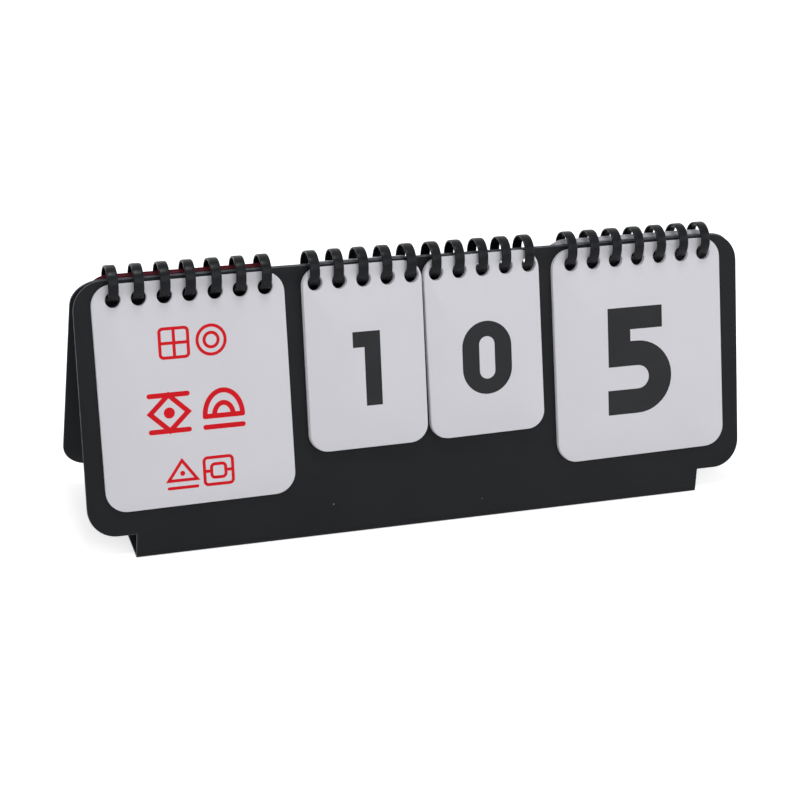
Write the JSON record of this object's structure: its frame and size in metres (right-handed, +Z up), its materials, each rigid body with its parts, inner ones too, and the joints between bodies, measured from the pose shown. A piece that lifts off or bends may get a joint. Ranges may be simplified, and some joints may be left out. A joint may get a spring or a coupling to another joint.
{
  "type": "perpetual flip calendar",
  "caption": "Desk tent stand of creased board with pads of loose number cards and a title pad that flip over plastic ring combs along its top edge.",
  "frame": {"origin": "middle of the footprint on the table face", "axes": "+Z up; X along the calendar, its left end at -X as read from the front; the shown cards face -Y"},
  "size_m": [0.267, 0.0642, 0.1042],
  "materials": {
    "board": "satin",
    "comb": "satin",
    "card": "satin",
    "title_back": "satin"
  },
  "bodies": {
    "stand": {"front_board": "board", "rear_board": "board", "base_panel": "board", "title_comb": "comb", "hundreds_comb": "comb", "tens_comb": "comb", "units_comb": "comb", "title_card_1": "title_back", "title_card_2": "title_back", "title_card_3": "title_back", "title_card_6": "card", "title_card_7": "card", "title_card_8": "card", "hundreds_card_2": "card", "hundreds_card_3": "card", "hundreds_card_4": "card", "hundreds_card_5": "card", "hundreds_card_6": "card", "hundreds_card_7": "card", "hundreds_card_8": "card", "hundreds_card_9": "card", "tens_card_1": "card", "tens_card_2": "card", "tens_card_3": "card", "tens_card_4": "card", "tens_card_5": "card", "tens_card_6": "card", "tens_card_7": "card", "tens_card_8": "card", "tens_card_9": "card", "units_card_0": "card", "units_card_1": "card", "units_card_2": "card", "units_card_3": "card", "units_card_6": "card", "units_card_7": "card", "units_card_8": "card", "units_card_9": "card"},
    "title_card_5_body": {"title_card_5": "card"},
    "hundreds_card_1_body": {"hundreds_card_1": "card"},
    "tens_card_0_body": {"tens_card_0": "card"},
    "units_card_5_body": {"units_card_5": "card"},
    "title_card_4_body": {"title_card_4": "title_back"},
    "hundreds_card_0_body": {"hundreds_card_0": "card"},
    "units_card_4_body": {"units_card_4": "card"}
  },
  "joints": [
    {"name": "title_turn", "type": "hinge", "parent": "stand", "child": "title_card_5_body", "pos_m": [0, -0.0003, 0.09831], "axis": [-1, 0, 0], "range_deg": [0, 170]},
    {"name": "hundreds_turn", "type": "hinge", "parent": "stand", "child": "hundreds_card_1_body", "pos_m": [0, 0, 0.09771], "axis": [-1, 0, 0], "range_deg": [0, 185]},
    {"name": "tens_turn", "type": "hinge", "parent": "stand", "child": "tens_card_0_body", "pos_m": [0, 0, 0.09741], "axis": [-1, 0, 0], "range_deg": [0, 200]},
    {"name": "units_turn", "type": "hinge", "parent": "stand", "child": "units_card_5_body", "pos_m": [0, -0.0006, 0.09831], "axis": [-1, 0, 0], "range_deg": [0, 168]},
    {"name": "title_return", "type": "hinge", "parent": "stand", "child": "title_card_4_body", "pos_m": [0, -0.0003, 0.09741], "axis": [-1, 0, 0], "range_deg": [-185, 0]},
    {"name": "hundreds_return", "type": "hinge", "parent": "stand", "child": "hundreds_card_0_body", "pos_m": [0, 0.0021, 0.09831], "axis": [-1, 0, 0], "range_deg": [-190, 0]},
    {"name": "units_return", "type": "hinge", "parent": "stand", "child": "units_card_4_body", "pos_m": [0, 0, 0.09741], "axis": [-1, 0, 0], "range_deg": [-180, 0]}
  ]
}
